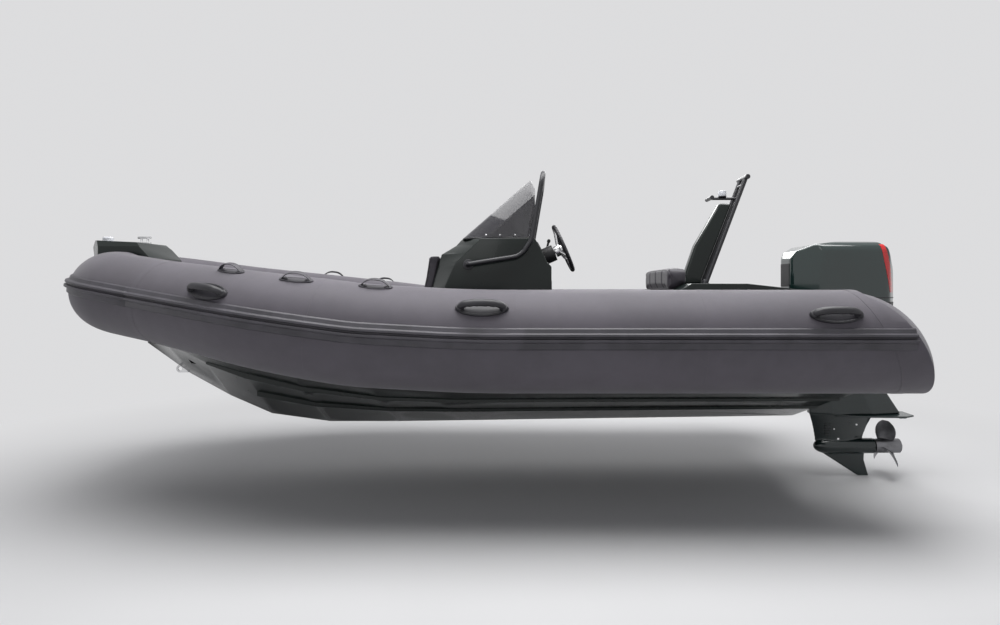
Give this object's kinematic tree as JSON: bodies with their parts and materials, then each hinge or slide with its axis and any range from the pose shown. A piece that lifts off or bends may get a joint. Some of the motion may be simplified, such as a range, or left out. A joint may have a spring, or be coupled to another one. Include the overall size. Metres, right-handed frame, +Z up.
{
  "type": "rigid inflatable boat",
  "caption": "Rigid inflatable boat with a V hull, inflated collar, helm console with screen and rail, aft bench, tow mast and a tilting, steering outboard engine.",
  "frame": {"origin": "on the centreline at the water's surface, under the aft foot of the windscreen", "axes": "+Z up, the bow points along -X, port is -Y"},
  "size_m": [5.7477, 2.4914, 2.113],
  "materials": {
    "tube_fabric": "matte coated fabric, dark grey",
    "cone_fabric": "matte coated fabric, dark grey",
    "strake_rubber": "satin grey ribbed rubber",
    "handle_rubber": "matte black moulded rubber",
    "hull_gelcoat": "gloss dark green-black gelcoat",
    "deck_grip": "moulded deck with a fine grip pattern",
    "black_plastic": "textured black plastic",
    "cushion_vinyl": "dark stitched marine vinyl",
    "smoked_acrylic": "smoked acrylic",
    "rail_black": "satin black coated tube",
    "stainless": "polished stainless steel",
    "lamp_white": "white lamp lens",
    "cowl_paint": "high gloss dark green-black",
    "leg_paint": "gloss dark green-black paint",
    "bracket_paint": "satin black paint",
    "engine_metal": "plain block, hidden",
    "tab_zinc": "dull cast metal",
    "prop_steel": "polished steel"
  },
  "bodies": {
    "hull": {"collar_bow": "tube_fabric", "rub_strake_bow": "strake_rubber", "hull_shell": "hull_gelcoat", "cockpit_deck": "deck_grip", "bow_deck": "deck_grip", "bow_step": "hull_gelcoat", "bow_light": "lamp_white", "bow_cleat": "stainless", "bow_eye": "stainless", "transom_eyes": "stainless", "bench_base": "hull_gelcoat", "backrest_pad": "cushion_vinyl", "aft_deck": "hull_gelcoat", "console_body": "hull_gelcoat", "console_pad": "cushion_vinyl", "windscreen": "smoked_acrylic", "console_rail": "rail_black", "helm_hub": "black_plastic", "throttle_control": "black_plastic", "mast_fin": "hull_gelcoat", "mast_frame": "rail_black", "mast_light": "lamp_white", "clamp_bracket": "bracket_paint", "gauge_panel": "black_plastic", "collar_port": "tube_fabric", "cone_port": "cone_fabric", "rub_strake_port": "strake_rubber", "side_handles_port": "handle_rubber", "top_handles_port": "handle_rubber", "collar_starboard": "tube_fabric", "cone_starboard": "cone_fabric", "rub_strake_starboard": "strake_rubber", "side_handles_starboard": "handle_rubber", "top_handles_starboard": "handle_rubber"},
    "bow_hatch": {"bow_hatch": "deck_grip"},
    "bench_seat": {"bench_lid": "black_plastic", "bench_cushion": "cushion_vinyl"},
    "helm_wheel": {"steering_wheel": "black_plastic", "wheel_rim": "handle_rubber"},
    "engine_swivel": {"swivel_bracket": "bracket_paint"},
    "engine": {"engine_leg": "leg_paint", "engine_pan": "leg_paint", "gearcase": "leg_paint", "trim_tab": "tab_zinc", "cowl": "cowl_paint", "engine_block": "engine_metal"},
    "propeller": {"propeller": "prop_steel"}
  },
  "joints": [
    {"name": "engine_tilt", "type": "hinge", "parent": "hull", "child": "engine_swivel", "pos_m": [1.862, 0, 0.365], "axis": [0, -1, 0], "range_deg": [0, 62]},
    {"name": "engine_steer", "type": "hinge", "parent": "engine_swivel", "child": "engine", "pos_m": [1.985, 0, 0.2], "axis": [0, 0, 1], "range_deg": [-30, 30]},
    {"name": "propeller_spin", "type": "hinge", "parent": "engine", "child": "propeller", "pos_m": [2.48, 0, -0.485], "axis": [1, 0, 0], "continuous": true},
    {"name": "helm_wheel_turn", "type": "hinge", "parent": "hull", "child": "helm_wheel", "pos_m": [0.2, 0, 0.91], "axis": [0.9135, 0, 0.4067], "range_deg": [-540, 540]},
    {"name": "bow_hatch_hinge", "type": "hinge", "parent": "hull", "child": "bow_hatch", "pos_m": [-2.252, 0, 0.472], "axis": [0, -1, 0], "range_deg": [0, 85]},
    {"name": "bench_seat_hinge", "type": "hinge", "parent": "hull", "child": "bench_seat", "pos_m": [0.418, 0, 0.476], "axis": [0, -1, 0], "range_deg": [0, 85]}
  ],
  "couplings": [
    {"joint": "helm_wheel_turn", "follows": "engine_steer", "ratio": -18}
  ]
}
